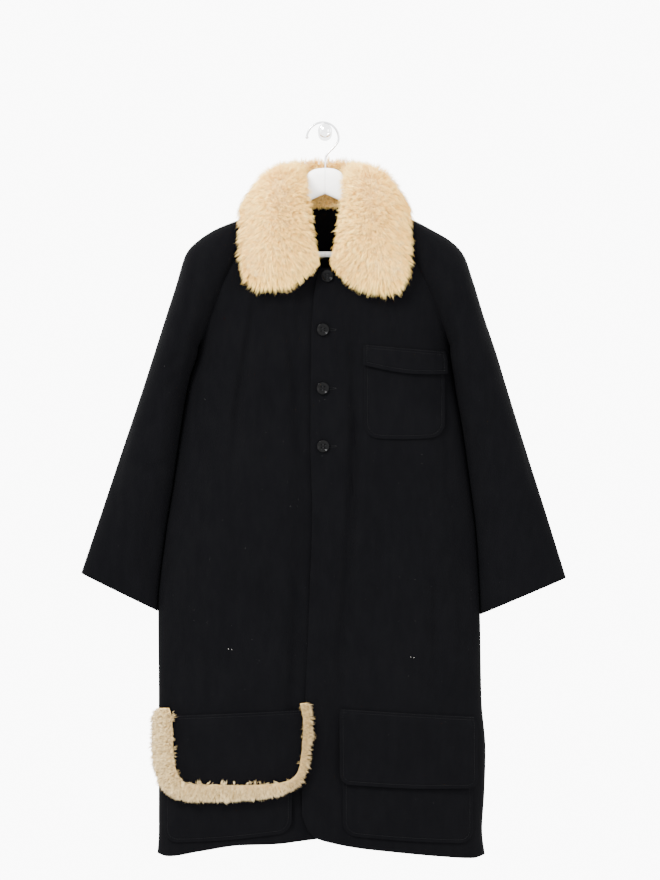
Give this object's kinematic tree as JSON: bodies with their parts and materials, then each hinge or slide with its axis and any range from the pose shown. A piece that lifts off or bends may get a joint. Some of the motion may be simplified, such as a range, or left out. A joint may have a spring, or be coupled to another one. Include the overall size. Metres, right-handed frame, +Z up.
{
  "type": "fur-trimmed wool coat on a hanger and wall peg",
  "caption": "Long black wool overcoat with raglan sleeves, a cream fur collar, patch pockets and a fur-edged flap, on a shaped hanger that hangs from a round wall peg.",
  "frame": {"origin": "middle of the round peg's face against the wall", "axes": "+Z up, +Y into the wall, so that the coat's front looks towards -Y and +X is to the viewer's right"},
  "size_m": [0.8508, 0.1996, 1.2907],
  "materials": {
    "wool": "matte felted wool",
    "fur": "long soft pile",
    "button": "polished",
    "hanger": "white, half gloss",
    "steel": "bright wire",
    "peg": "bright"
  },
  "bodies": {
    "root": {"back": "wool", "button_1": "button", "button_2": "button", "button_3": "button", "button_4": "button", "chest_flap": "wool", "chest_pocket": "wool", "fur_collar": "fur", "hanger_arms": "hanger", "hanger_bar": "hanger", "hanger_hook": "steel", "left_flap": "wool", "left_front": "wool", "left_pocket": "wool", "left_sleeve_back": "wool", "left_sleeve_front": "wool", "right_flap": "wool", "right_flap_fur": "fur", "right_front": "wool", "right_pocket": "wool", "right_sleeve_back": "wool", "right_sleeve_front": "wool", "wall_peg": "peg"}
  },
  "joints": []
}
